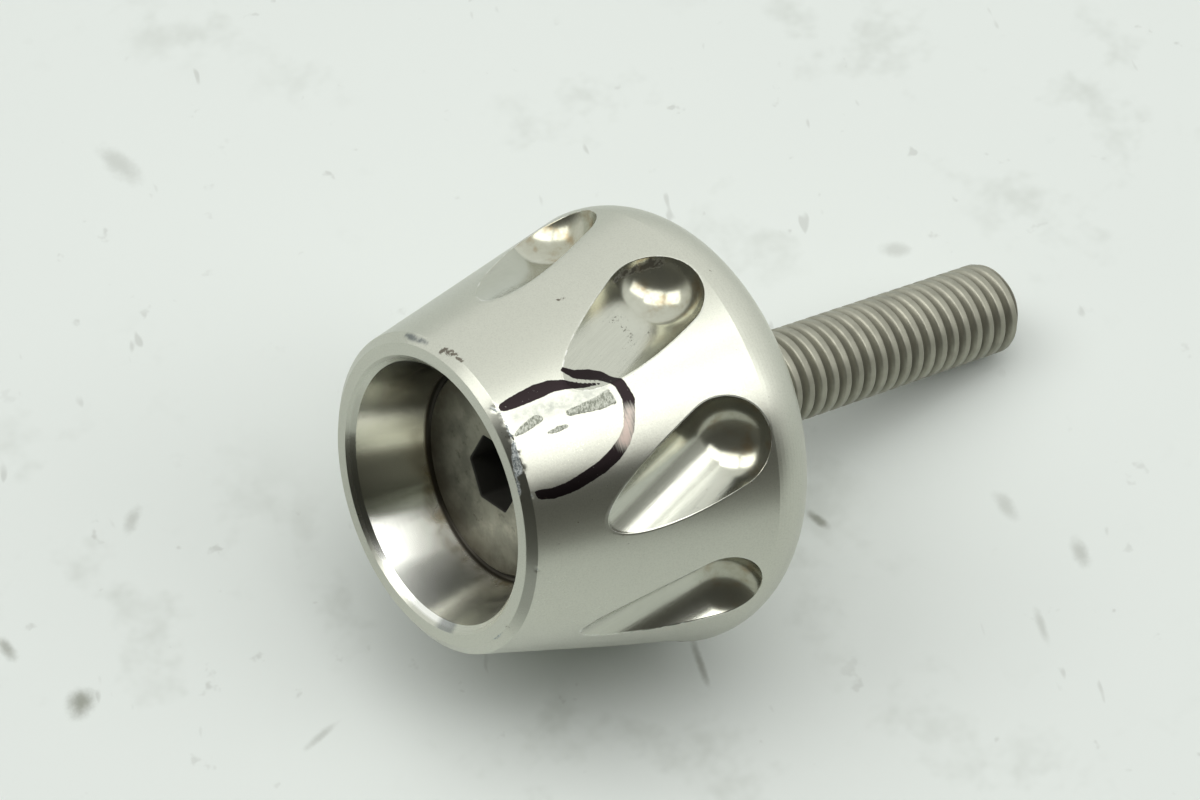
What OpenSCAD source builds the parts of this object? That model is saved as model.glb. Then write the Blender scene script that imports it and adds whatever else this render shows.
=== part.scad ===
// Bar end weight: a fluted, tapered steel body and the countersunk M6 screw in its pocket.
// Z runs along the screw. The open small end stands on z = 0, the screw points up.

/* [Tapered body] */
// Diameter where the taper meets the chamfer of the small end
small_end_d = 19.3; // [18:0.1:21]
// Diameter where the taper meets the rounded back
wide_end_d = 26.7; // [25:0.1:32]
// Height of the edge between the taper and the rounded back
taper_top_z = 15.1; // [14:0.1:20]
// Height of the rounded back, from that edge to the back face
back_h = 4; // [3.2:0.1:4.8]
// Radius of the rounded back
back_round_r = 3.6; // [2.6:0.1:4.4]
// Radial width of the chamfer outside the lip
lip_chamfer_w = 0.55; // [0.2:0.05:0.8]
// Height of the chamfer outside the lip
lip_chamfer_h = 0.42; // [0.2:0.02:0.8]
// Chamfer round the screw hole in the back face
hole_chamfer = 0.4; // [0.1:0.1:1]

/* [Pocket] */
// Depth from the lip to the edge of the screw seat
pocket_depth = 4.75; // [4:0.05:6]
// Width of the flat lip round the pocket
lip_w = 0.73; // [0.4:0.01:1]
// Width and height of the chamfer inside the lip
pocket_chamfer = 0.45; // [0.2:0.05:0.7]

/* [Flutes] */
// Number of flutes round the taper
flute_count = 8; // [4:1:9]
// Diameter of the ball that cuts a flute
flute_ball_d = 6; // [4.6:0.1:6.6]
// Depth of a flute below the taper, at its round end
flute_depth = 2.05; // [1.2:0.05:2.3]
// Land left between a flute's round end and the rounded back
flute_land = 0.15; // [0.1:0.05:1]
// Slant of a flute against the screw's axis, in degrees
flute_slant = 24; // [0:1:30]
// Dive of a flute towards the screw's axis on its way to the small end, in degrees
flute_dive = 1.4; // [0:0.1:2]

/* [Screw] */
// Diameter over the thread crests, M6
thread_d = 5.9; // [4.8:0.1:5.9]
// Length of the threaded stretch, tip and run-out included
thread_len = 24; // [14:1:26]
// Width of the run-out groove between plain shank and thread
runout_w = 0.8; // [0.6:0.1:1.5]
// Depth of the run-out groove below the thread crests
runout_depth = 0.5; // [0.3:0.05:0.6]
// Diameter of the plain shank between head and thread
shank_d = 5.97; // [5.95:0.01:6.4]
// Length over all, head included
screw_len = 40; // [36:1:60]
// Diameter of the countersunk head
head_d = 12.6; // [11:0.1:13]
// Cone angle of the head and of its seat, in degrees
head_angle = 90; // [84:1:96]
// Height of the straight rim of the head
head_rim_h = 0.3; // [0.2:0.05:0.5]
// Chamfer on the outer edge of that rim
head_rim_chamfer = 0.12; // [0.05:0.01:0.15]
// Width across flats of the hexagon socket
socket_af = 4; // [3:0.5:5]
// Depth of the socket's flat sides
socket_depth = 2.3; // [1.5:0.1:2.8]
// Turn of the socket about the screw's axis, in degrees
socket_turn = 23; // [0:1:60]
// Chamfer on the screw's tip
tip_chamfer = 0.7; // [0.3:0.1:1]

/* [Clearances] */
// Gap between the head's rim and the pocket wall
head_gap = 0.25; // [0.1:0.05:0.4]
// Gap between the plain shank and its hole
hole_gap = 0.27; // [0.1:0.01:0.5]
// Gap between the head's cone and its seat
seat_gap = 0.03; // [0.02:0.01:0.05]

/* [Hidden] */
$fn = 96;
// Cuts run past the faces they open by this much
over = 0.01;

lip_outer_r = small_end_d/2 - lip_chamfer_w;
lip_inner_r = lip_outer_r - lip_w;
pocket_mouth_r = lip_inner_r - pocket_chamfer;
body_len = taper_top_z + back_h;

// Centre of the rounded back: its arc ends flat on the back face
// and starts on the upper edge of the taper
round_z = body_len - back_round_r;
round_r = wide_end_d/2 - sqrt(pow(back_round_r, 2) - pow(taper_top_z - round_z, 2));

head_r = head_d/2;
thread_r = thread_d/2;
shank_r = shank_d/2;
seat_edge_r = head_r + head_gap;
hole_r = shank_r + hole_gap;
// Rise along Z for each millimetre that the seat's radius shrinks
seat_rise = 1/tan(head_angle/2);
seat_end_z = pocket_depth + (seat_edge_r - hole_r)*seat_rise;
// The head's cone lies along the seat, seat_gap away from it
head_cone_z = pocket_depth + head_gap*seat_rise - seat_gap/sin(head_angle/2);
head_top_z = head_cone_z - head_rim_h;
shank_z = head_cone_z + (head_r - shank_r)*seat_rise;
tip_z = head_top_z + screw_len;
thread_z = tip_z - thread_len;

flute_r = flute_ball_d/2;
flute_stop_z = taper_top_z - flute_land - flute_r;
taper_slope = (wide_end_d - small_end_d)/2/(taper_top_z - lip_chamfer_h);
// Distance from the screw's axis to the ball's centre at the round end
flute_path_x = small_end_d/2 + taper_slope*(flute_stop_z - lip_chamfer_h)
    - flute_depth + flute_r;

// Half section of the body before anything is cut from it:
// the taper, carried on past its upper edge, within the outline of the rounded back
module body_blank_section() {
    intersection() {
        polygon([
            [0, 0],
            [lip_outer_r, 0],
            [small_end_d/2, lip_chamfer_h],
            [small_end_d/2 + taper_slope*(body_len + over - lip_chamfer_h), body_len + over],
            [0, body_len + over]
        ]);
        union() {
            translate([round_r, round_z])
                circle(r = back_round_r);
            square([round_r, body_len]);
            square([wide_end_d, round_z - back_round_r*sin(atan(taper_slope))]);
        }
    }
}

// Half section of the pocket, the screw's seat and its hole
module screw_way_section() {
    polygon([
        [0, -over],
        [lip_inner_r + over, -over],
        [pocket_mouth_r, pocket_chamfer],
        [seat_edge_r, pocket_depth],
        [hole_r, seat_end_z],
        [hole_r, body_len - hole_chamfer],
        [hole_r + hole_chamfer + over, body_len + over],
        [0, body_len + over]
    ]);
}

// One flute: a ball-end cutter's straight pass, in from beyond the small end
module flute_pass() {
    translate([flute_path_x, 0, flute_stop_z])
        rotate([180 + flute_slant, flute_dive, 0])
            rotate_extrude() {
                intersection() {
                    circle(r = flute_r);
                    translate([0, -flute_r])
                        square(flute_r);
                }
                square([flute_r, (flute_stop_z + 2*flute_r)/cos(flute_slant)]);
            }
}

module weight_body() {
    color([0.76, 0.75, 0.70])
    difference() {
        // Turned so that the section's start lies between two flutes
        rotate(180/flute_count)
            rotate_extrude()
                difference() {
                    body_blank_section();
                    screw_way_section();
                }
        for (i = [0 : flute_count - 1])
            rotate(i*360/flute_count)
                flute_pass();
    }
}

// Half section of the screw before its socket is cut
module screw_section() {
    polygon([
        [0, head_top_z],
        [head_r - head_rim_chamfer, head_top_z],
        [head_r, head_top_z + head_rim_chamfer],
        [head_r, head_cone_z],
        [shank_r, shank_z],
        [shank_r, thread_z],
        [thread_r - runout_depth, thread_z + runout_w/2],
        [thread_r, thread_z + runout_w],
        [thread_r, tip_z - tip_chamfer],
        [thread_r - tip_chamfer, tip_z],
        [0, tip_z]
    ]);
}

// Hexagon socket with the point that its drill leaves
module socket() {
    translate([0, 0, head_top_z - over])
        rotate(socket_turn)
            cylinder(d = socket_af/cos(30), h = socket_depth + over, $fn = 6);
    translate([0, 0, head_top_z + socket_depth - over])
        cylinder(d1 = socket_af, d2 = 0, h = socket_af/2/tan(59));
}

module screw() {
    color([0.62, 0.61, 0.57])
    difference() {
        rotate_extrude()
            screw_section();
        socket();
    }
}

weight_body();
screw();
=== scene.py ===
"""Dresses the fluted bar end weight and its screw, and sets its stage."""

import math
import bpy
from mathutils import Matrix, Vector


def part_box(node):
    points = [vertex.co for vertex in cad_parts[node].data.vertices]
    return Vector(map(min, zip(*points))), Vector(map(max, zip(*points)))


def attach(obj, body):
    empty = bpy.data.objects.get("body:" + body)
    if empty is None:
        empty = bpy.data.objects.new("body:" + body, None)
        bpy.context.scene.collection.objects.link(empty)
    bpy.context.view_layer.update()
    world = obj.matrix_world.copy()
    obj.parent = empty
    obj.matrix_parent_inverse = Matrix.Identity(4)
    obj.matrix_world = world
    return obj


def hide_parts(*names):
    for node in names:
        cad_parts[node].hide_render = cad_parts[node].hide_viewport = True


bl_info = {
    "name": "Bar end weight",
    "version": (1, 0, 0),
    "blender": (4, 5, 0),
    "location": "View3D > Sidebar > Bar end",
    "description": "Turned and fluted bar end weight with its countersunk screw",
    "category": "Object",
}

from functools import partialmethod
from types import SimpleNamespace

import bmesh
import bpy
import numpy as np
from bpy.props import FloatProperty, FloatVectorProperty, IntProperty, PointerProperty
from mathutils import Matrix, Vector

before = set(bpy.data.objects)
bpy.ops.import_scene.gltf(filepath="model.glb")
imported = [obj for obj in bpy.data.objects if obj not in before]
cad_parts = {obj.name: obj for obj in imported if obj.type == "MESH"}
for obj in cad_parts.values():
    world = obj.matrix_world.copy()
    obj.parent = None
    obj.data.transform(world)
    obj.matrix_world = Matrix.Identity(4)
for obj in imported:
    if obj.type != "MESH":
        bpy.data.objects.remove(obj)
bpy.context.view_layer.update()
MM = 0.001
BODY_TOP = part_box("weight_body")[1][2]
SCREW_BOTTOM, SCREW_TOP = (corner[2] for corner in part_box("screw"))


# Sizes, finishes and stage


def length_prop(name, description, default):
    return FloatProperty(name=name, description=description, default=default, unit="LENGTH")


def angle_prop(name, description, degrees):
    return FloatProperty(name=name, description=description, default=math.radians(degrees), subtype="ANGLE")


def number_prop(name, description, default):
    return FloatProperty(name=name, description=description, default=default)


def colour_prop(name, description, default):
    return FloatVectorProperty(name=name, description=description, default=default, subtype="COLOR")


class BodySizes(bpy.types.PropertyGroup):
    small_end: length_prop("Small end radius", "Radius where the taper starts", 0.00965)
    small_end_height: length_prop("Lip chamfer height", "Height of the chamfer outside the lip", 0.00042)
    lip_outer: length_prop("Lip outer radius", "Outer radius of the flat lip", 0.0091)
    lip_inner: length_prop("Lip inner radius", "Inner radius of the flat lip", 0.00837)
    pocket_mouth: length_prop("Pocket mouth radius", "Radius of the pocket inside its chamfer", 0.00792)
    pocket_chamfer: length_prop("Pocket chamfer height", "Height of the chamfer inside the lip", 0.00045)
    pocket_depth: length_prop("Pocket depth", "Depth from the lip to the screw's seat", 0.00475)
    seat_edge: length_prop("Seat radius", "Radius of the seat's edge", 0.00655)
    hole: length_prop("Hole radius", "Radius of the screw's hole", 0.003255)
    wide_end: length_prop("Wide end radius", "Radius where the taper meets the rounded back", 0.01335)
    taper_top: length_prop("Taper height", "Height of the edge between taper and back", 0.0151)
    back_round: length_prop("Back rounding", "Radius of the rounded back", 0.0036)
    length: length_prop("Body length", "Height of the back face", BODY_TOP)
    flutes: IntProperty(name="Flutes", description="Number of flutes", default=8)
    flute_radius: length_prop("Flute radius", "Radius of the ball that cut the flutes", 0.003)
    flute_depth: length_prop("Flute depth", "Depth at the flute's round end", 0.00205)
    flute_land: length_prop("Flute land", "Land between round end and back", 0.00015)
    flute_slant: angle_prop("Flute slant", "Slant against the screw's axis", 24)
    flute_dive: angle_prop("Flute dive", "Dive towards the axis on the way to the small end", 1.4)


class ScrewSizes(bpy.types.PropertyGroup):
    head_top: length_prop("Head height", "Height of the head's flat top", SCREW_BOTTOM)
    tip: length_prop("Tip height", "Height of the screw's tip", SCREW_TOP)
    head: length_prop("Head radius", "Radius of the countersunk head", 0.0063)
    rim: length_prop("Head rim", "Height of the head's straight rim", 0.0003)
    shank: length_prop("Shank radius", "Radius of the plain shank", 0.002985)
    crest: length_prop("Crest radius", "Radius over the thread crests", 0.00295)
    thread_depth: length_prop("Thread depth", "Depth from crest to root", 0.00043)
    pitch: length_prop("Pitch", "Distance between thread crests", 0.001)
    thread: length_prop("Thread length", "Length of the threaded stretch", 0.024)
    tip_chamfer: length_prop("Tip chamfer", "Chamfer on the tip", 0.0007)
    socket: length_prop("Socket width", "Width across the socket's flats", 0.004)
    socket_depth: length_prop("Socket depth", "Depth of the socket's flats", 0.0023)
    socket_turn: angle_prop("Socket turn", "Turn of the socket", 23)


class Finishes(bpy.types.PropertyGroup):
    turned: colour_prop("Turned steel", "Colour of the turned body", (0.567, 0.571, 0.499))
    turned_roughness: number_prop("Turned roughness", "Roughness of the satin taper", 0.30)
    turning_marks: number_prop(
        "Turning marks", "How far the turning marks stretch reflections along the axis", 0.85)
    flute: colour_prop("Flute steel", "Colour of the milled flutes", (0.526, 0.531, 0.462))
    flute_roughness: number_prop("Flute roughness", "Roughness of the flutes' round ends", 0.16)
    film: colour_prop("Film", "Colour of the oily film in the flutes' round ends", (0.285, 0.278, 0.195))
    screw: colour_prop("Screw steel", "Colour of the screw", (0.352, 0.344, 0.283))
    screw_roughness: number_prop("Screw roughness", "Roughness of the screw", 0.46)
    head: colour_prop("Head steel", "Colour of the screw's dull head", (0.28, 0.275, 0.22))
    ink: colour_prop("Ink", "Colour of the felt pen line", (0.024, 0.018, 0.019))
    stain: colour_prop("Stain", "Colour of the brown dirt", (0.065, 0.046, 0.021))
    table: colour_prop("Table", "Colour of the table", (0.822, 0.866, 0.832))


class StageSizes(bpy.types.PropertyGroup):
    camera_place: FloatVectorProperty(
        name="Camera place", description="Where the camera stands", default=(0.19158, -0.04087, -0.12167),
        subtype="XYZ", unit="LENGTH")
    lens: number_prop("Lens", "Focal length on a 36 mm sensor", 120.2)
    table_reach: length_prop("Table reach", "Half width of the table", 1.2)
    table_drop: length_prop("Table distance", "Distance from the frame's origin to the table", 0.01822)
    lamp_height: length_prop("Lamp height", "Height of the lamp panes above the part", 0.9)
    lamp_radiance: number_prop("Lamp radiance", "Radiance of each pane", 2.75)


# The camera looks along minus CAMERA_BACK; TABLE_UP is the table's normal in the part's frame
CAMERA_RIGHT = Vector((0.590501, 0.201191, 0.781561))
CAMERA_UP = Vector((-0.013114, -0.965908, 0.258557))
CAMERA_BACK = Vector((0.806934, -0.162927, -0.567730))
TABLE_UP = Vector((0.6827, -0.6410, -0.3508)).normalized()
TABLE_RIGHT = (CAMERA_RIGHT - TABLE_UP * CAMERA_RIGHT.dot(TABLE_UP)).normalized()
TABLE_AWAY = TABLE_UP.cross(TABLE_RIGHT)


def own_keys(group):
    """Names of the properties that a group adds itself."""
    return [key for key in group.bl_rna.properties.keys() if key not in ("rna_type", "name")]


def in_mm(group):
    """A group's values, its lengths turned into millimetres."""
    values = SimpleNamespace()
    for key in own_keys(group):
        unit = group.bl_rna.properties[key].unit
        setattr(values, key, getattr(group, key) / MM if unit == "LENGTH" else getattr(group, key))
    return values


# Shader building


class Wire:
    """A shader socket with arithmetic; each expression adds Math nodes, by the table below the class."""

    def __init__(self, board, socket):
        self.board, self.socket = board, socket

    def math(self, operation, *others):
        node = self.board.add("ShaderNodeMath", {"operation": operation}, dict(enumerate((self,) + others)))
        return Wire(self.board, node.outputs[0])

    def flipped(self, operation, other):
        node = self.board.add("ShaderNodeMath", {"operation": operation}, {0: other, 1: self})
        return Wire(self.board, node.outputs[0])

    def most(self, other):
        return self.math("MAXIMUM", other)

    def size(self):
        return self.math("ABSOLUTE")

    def rise(self, low, high):
        """0 below low, 1 above high, smooth between; low may be the larger."""
        node = self.board.add(
            "ShaderNodeMapRange",
            {"interpolation_type": "SMOOTHSTEP", "clamp": True},
            {"Value": self, "From Min": low, "From Max": high, "To Min": 0.0, "To Max": 1.0},
        )
        return Wire(self.board, node.outputs["Result"])

    def window(self, start, full, fade, end):
        """1 from full to fade, 0 before start and after end."""
        return self.rise(start, full) * self.rise(end, fade)


for sign, operation in (("add", "ADD"), ("sub", "SUBTRACT"), ("mul", "MULTIPLY"), ("truediv", "DIVIDE")):
    setattr(Wire, "__%s__" % sign, partialmethod(Wire.math, operation))
    setattr(Wire, "__r%s__" % sign, partialmethod(Wire.flipped, operation))


class Board:
    """The nodes of one material or world; a material's colour and roughness grow layer by layer."""

    def __init__(self, tree):
        self.tree = tree
        self.here = self.colour = self.roughness = None
        tree.nodes.clear()

    def add(self, kind, settings=None, sockets=None):
        node = self.tree.nodes.new(kind)
        for name, value in (settings or {}).items():
            setattr(node, name, value)
        for name, value in (sockets or {}).items():
            self.feed(node.inputs[name], value)
        return node

    def feed(self, socket, value):
        """Links a wire or a socket to an input, or sets its constant."""
        if isinstance(value, Wire):
            self.tree.links.new(value.socket, socket)
        elif isinstance(value, bpy.types.NodeSocket):
            self.tree.links.new(value, socket)
        else:
            socket.default_value = value

    def wire(self, node, output=0):
        return Wire(self, node.outputs[output])

    def mix(self, factor, first, second):
        """From the first colour to the second one."""
        node = self.add("ShaderNodeMix", {"data_type": "RGBA", "blend_type": "MIX", "clamp_factor": True})
        self.feed(node.inputs[0], factor)
        for socket, value in ((node.inputs[6], first), (node.inputs[7], second)):
            self.feed(socket, value if isinstance(value, Wire) else tuple(value)[:3] + (1.0,))
        return Wire(self, node.outputs[2])

    def lay(self, factor, tint):
        """Covers the colour reached so far with a share of another one."""
        self.colour = self.mix(factor, self.colour, tint)

    def place(self):
        """The part's own coordinates, in millimetres: kept as a vector, returned as x, y and z."""
        object_place = self.add("ShaderNodeTexCoord").outputs["Object"]
        scaled = self.add("ShaderNodeVectorMath", {"operation": "SCALE"}, {0: object_place, "Scale": 1 / MM})
        split = self.add("ShaderNodeSeparateXYZ", None, {0: scaled.outputs[0]})
        self.here = self.wire(scaled)
        return tuple(self.wire(split, k) for k in range(3))

    def vector(self, x, y, z):
        return self.wire(self.add("ShaderNodeCombineXYZ", None, {0: x, 1: y, 2: z}))

    def along(self, vector, axis):
        """How far a vector reaches along an axis."""
        node = self.add("ShaderNodeVectorMath", {"operation": "DOT_PRODUCT"}, {0: vector, 1: tuple(axis)})
        return self.wire(node, "Value")

    def noise(self, scale, detail=3.0, roughness=0.55, at=None):
        """Noise centred on 0.5, scale in features per millimetre, at the own place or another vector."""
        vector = self.here if at is None else at
        sockets = {"Vector": vector, "Scale": scale, "Detail": detail, "Roughness": roughness}
        return self.wire(self.add("ShaderNodeTexNoise", None, sockets), "Fac")

    def attribute(self, name):
        node = self.add("ShaderNodeAttribute", {"attribute_name": name, "attribute_type": "GEOMETRY"})
        return self.wire(node, "Fac")

    def bump(self, height, distance, normal=None):
        sockets = {"Height": height, "Distance": distance, "Strength": 1.0}
        if normal is not None:
            sockets["Normal"] = normal
        return self.wire(self.add("ShaderNodeBump", None, sockets))

    def shader(self, others):
        """A shader with the colour and roughness reached so far."""
        sockets = {"Base Color": self.colour, "Roughness": self.roughness, **others}
        return self.add("ShaderNodeBsdfPrincipled", None, sockets).outputs[0]

    def surface(self, others):
        self.add("ShaderNodeOutputMaterial", None, {"Surface": self.shader(others)})


def new_material(name):
    material = bpy.data.materials.new(name)
    material.use_nodes = True
    return material, Board(material.node_tree)


def polar(x, y):
    """Radius and angle about the screw's axis."""
    return (x * x + y * y).math("SQRT"), y.math("ARCTAN2", x)


def shade(colour, factor):
    return tuple(v * factor for v in colour)


def flute_field(ring, x, y, z):
    """For the nearest flute: gap to its surface, way along it, way across it and its number."""
    radius, angle = polar(x, y)
    step = 2 * math.pi / ring.count
    lean = (ring.stop - z) * -(ring.way[1] / ring.way[2]) / radius
    number = ((angle - lean) * (1 / step)).math("ROUND")
    turned = angle - number * step
    px = radius * turned.math("COSINE") - ring.path
    py = radius * turned.math("SINE")
    pz = z - ring.stop
    along = px * ring.way[0] + py * ring.way[1] + pz * ring.way[2]
    ahead = along.most(0.0)
    ax, ay, az = (p - ahead * w for p, w in zip((px, py, pz), ring.way))
    gap = (ax * ax + ay * ay + az * az).math("SQRT") - ring.radius
    across = py * ring.side[1] + pz * ring.side[2]
    return gap, along, across, number


def inked(board, finishes, angle, z):
    """Lays felt pen over a finish and says how much metal it hides."""
    edge = board.attribute("ink") + (board.noise(6.0, 2.0) - 0.5) * 0.06
    ink = edge.rise(0.025, -0.02)
    streaks = board.noise(1.2, at=board.vector(angle * 5.0, z * 9.0, 0.0))
    thin = (board.attribute("ink_thin") + (streaks - 0.5) * 0.5).rise(0.22, 0.80)
    gaps = board.noise(7.0, 2.0).rise(0.70, 0.78) * 0.5
    cover = ink * (1.0 - thin * 0.92) * (1.0 - gaps)
    board.lay(ink * thin * 0.85, (0.385, 0.295, 0.26))
    board.lay(cover, finishes.ink)
    board.roughness += cover * (0.34 - board.roughness)
    return cover


def edge_burr_and_glint(board, distance, ink):
    """Lays bright torn metal close to a flute's edge, partly a painted highlight, and says how much of it there
    is.
    """
    torn = board.noise(1.6, 3.0, 0.65).rise(0.46, 0.62)
    burr_and_glint = distance.rise(0.05, 0.0) * torn * (1.0 - ink)
    board.lay(burr_and_glint * 0.7, (0.76, 0.76, 0.73))
    return burr_and_glint


def turned_steel(finishes, ring):
    """Satin turned steel with ink, scars, dirt in the pocket, painted shade and painted reflection bands in the
    pocket and on the chamfers, and bright edges that are partly a painted highlight.
    """
    material, board = new_material("turned_steel")
    x, y, z = board.place()
    radius, angle = polar(x, y)
    sizes = ring.sizes
    lip, floor, chamfer_z = sizes.lip_inner, sizes.pocket_depth, sizes.pocket_chamfer
    grain = board.noise(10.0, 2.0, 0.6)
    broad = board.noise(0.35)
    lathe = board.noise(1.0, 3.0, 0.6, board.vector(radius * 9.0, angle * 1.2, z * 9.0))

    in_pocket = radius.rise(lip - 0.12, lip - 0.27) * z.rise(floor + 0.45, floor + 0.25)
    board.colour = board.mix((broad - 0.5) * 0.4 + 0.3, finishes.turned, shade(finishes.turned, 0.93))
    board.lay(grain.rise(0.38, 0.75) * 0.34, shade(finishes.turned, 0.70))
    board.roughness = finishes.turned_roughness + (grain - 0.5) * (1.0 - in_pocket) * 0.12
    board.roughness += (broad - 0.5) * 0.05
    board.roughness -= in_pocket * 0.08

    # The pocket's wall: painted shade at the top, a painted dark and a painted bright reflection band, brown dirt
    # towards the bottom, and near-black painted shade in the gap round the screw
    # Painted shade at the wall's top
    upper = angle.window(-2.75, -2.25, -1.1, -0.6) * in_pocket * z.rise(0.6, 2.2)
    board.lay(upper * (board.noise(0.6) * 0.5 + 0.5) * 0.8, (0.10, 0.09, 0.06))
    # A painted dark reflection band on the wall
    painted_dark_band = angle.rise(-2.78, -2.92).most(angle.rise(3.00, 3.08)).most(angle.rise(-2.2, -2.4) * 0.25) * in_pocket
    board.lay(painted_dark_band * 0.80, (0.15, 0.145, 0.115))
    # A painted bright reflection band on the wall
    painted_bright_band = angle.window(1.60, 1.95, 2.90, 3.00) * in_pocket
    board.lay(painted_bright_band * 0.8, (0.88, 0.88, 0.84))
    wall_dirt = in_pocket * z.rise(2.4, 4.7) * board.noise(0.5).rise(0.25, 0.65)
    board.lay(wall_dirt * 0.35, (0.24, 0.215, 0.145))
    tan = in_pocket * z.rise(3.3, 4.3) * board.noise(0.6, 4.0, 0.6).rise(0.42, 0.70) * angle.rise(0.9, 1.6)
    board.lay(tan * 0.7, (0.215, 0.175, 0.085))
    low = (z + (board.noise(0.5, 1.0, 0.5) - 0.5) * 3.0).rise(3.5, 5.3)
    # Near-black painted shade in the gap at the foot of the wall round the screw's head; the brown dirt layer
    # takes it in too
    gap_shade = z.rise(floor - 0.35, floor - 0.09) * radius.rise(sizes.seat_edge - 0.35, sizes.seat_edge - 0.20)
    grime_and_gap_shade = (low * board.noise(0.6, 3.0, 0.55).rise(0.25, 0.70) * 0.8).most(gap_shade) * in_pocket
    board.lay(grime_and_gap_shade * 0.85, (0.115, 0.082, 0.026))
    board.lay(gap_shade * in_pocket * 0.95, (0.018, 0.015, 0.009))
    board.roughness += grime_and_gap_shade * 0.15

    # Painted dark reflection on the chamfers on both sides of the lip, over part of their round
    painted_dark_chamfer_out = radius.rise(sizes.lip_outer + 0.01, sizes.lip_outer + 0.05)
    painted_dark_chamfer_out = painted_dark_chamfer_out * z.rise(sizes.small_end_height + 0.03, sizes.small_end_height - 0.02)
    painted_dark_chamfer_out = painted_dark_chamfer_out * angle.rise(-0.60, -0.42) * angle.rise(1.10, 0.70)
    painted_dark_chamfer_in = radius.rise(lip + 0.01, lip - 0.03) * z.rise(chamfer_z + 0.03, chamfer_z - 0.03)
    painted_dark_chamfer_in = painted_dark_chamfer_in * angle.size().rise(2.65, 2.90)
    board.lay(painted_dark_chamfer_out.most(painted_dark_chamfer_in) * 0.9, shade(finishes.turned, 0.52))

    # Ink, scuffed ground, scraped patches and torn metal
    ink = inked(board, finishes, angle, z)
    scuffs = board.noise(2.6, 4.0, 0.7).rise(0.32, 0.66) * 0.8 + 0.2
    haze = board.attribute("haze").rise(0.30, -0.35) * scuffs * (1.0 - ink)
    board.lay(haze * 0.48, (0.245, 0.262, 0.25))
    board.roughness += haze * 0.12
    hatch = board.noise(1.3, 3.0, 0.7, board.vector(radius, angle * 34.0, z * 7.0 + angle * 22.0))
    scar = (board.attribute("scar") + (board.noise(5.0) - 0.5) * 0.16).rise(0.02, -0.03)
    scraped = board.mix(hatch.rise(0.38, 0.62), (0.17, 0.18, 0.145), (0.44, 0.45, 0.395))
    board.lay(scar, scraped)
    board.roughness += scar * (0.46 - board.roughness)
    crumbs = board.noise(8.0, 3.0, 0.65)
    frost = (board.attribute("frost") + (board.noise(4.5, 3.0, 0.65) - 0.5) * 0.30).rise(0.03, -0.03)
    torn = board.mix(crumbs.rise(0.38, 0.62), (0.19, 0.22, 0.225), (0.58, 0.61, 0.60))
    board.lay(frost, torn)
    board.roughness += frost * (0.50 - board.roughness)

    # Smudges, brown specks and the flutes' bright edges, partly a painted highlight
    smudge = board.attribute("smudge").rise(0.10, -0.12) * board.noise(1.6, 2.0).rise(0.30, 0.62)
    patch = angle.window(1.63, 1.70, 1.81, 1.90) * in_pocket.most(radius.rise(lip + 0.03, lip - 0.03))
    patch = patch * z.rise(chamfer_z + 0.17, chamfer_z - 0.05)
    board.lay(smudge.most(patch * 0.8) * 0.8, (0.115, 0.13, 0.14))
    spots = (board.attribute("stain") + (crumbs - 0.5) * 0.34).rise(0.02, -0.05)
    sprinkled = board.noise(3.3, 1.0).rise(0.785, 0.82) * broad.rise(0.45, 0.6) * (1.0 - in_pocket)
    specks = spots.most(sprinkled * 0.8)
    board.lay(specks * 0.85, finishes.stain)
    edge = flute_field(ring, x, y, z)[0].most(0.0)
    # Bright torn metal along the flutes' edges, partly a painted highlight
    burr_and_glint = edge_burr_and_glint(board, edge, ink)
    board.roughness += burr_and_glint * 0.16

    relief = lathe * 0.30 + (grain * 0.45) * (1.0 - in_pocket) + (scar * 5.0 + frost * 2.5) * crumbs
    board.surface({
        "Metallic": 1.0 - (grime_and_gap_shade * 0.4).most(specks).most(frost * 0.35),
        "Anisotropic": finishes.turning_marks,
        "Anisotropic Rotation": 0.25,
        "Normal": board.bump(edge.rise(0.0, 0.07), 0.000012, board.bump(relief, 0.0000050)),
    })
    return material


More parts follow.
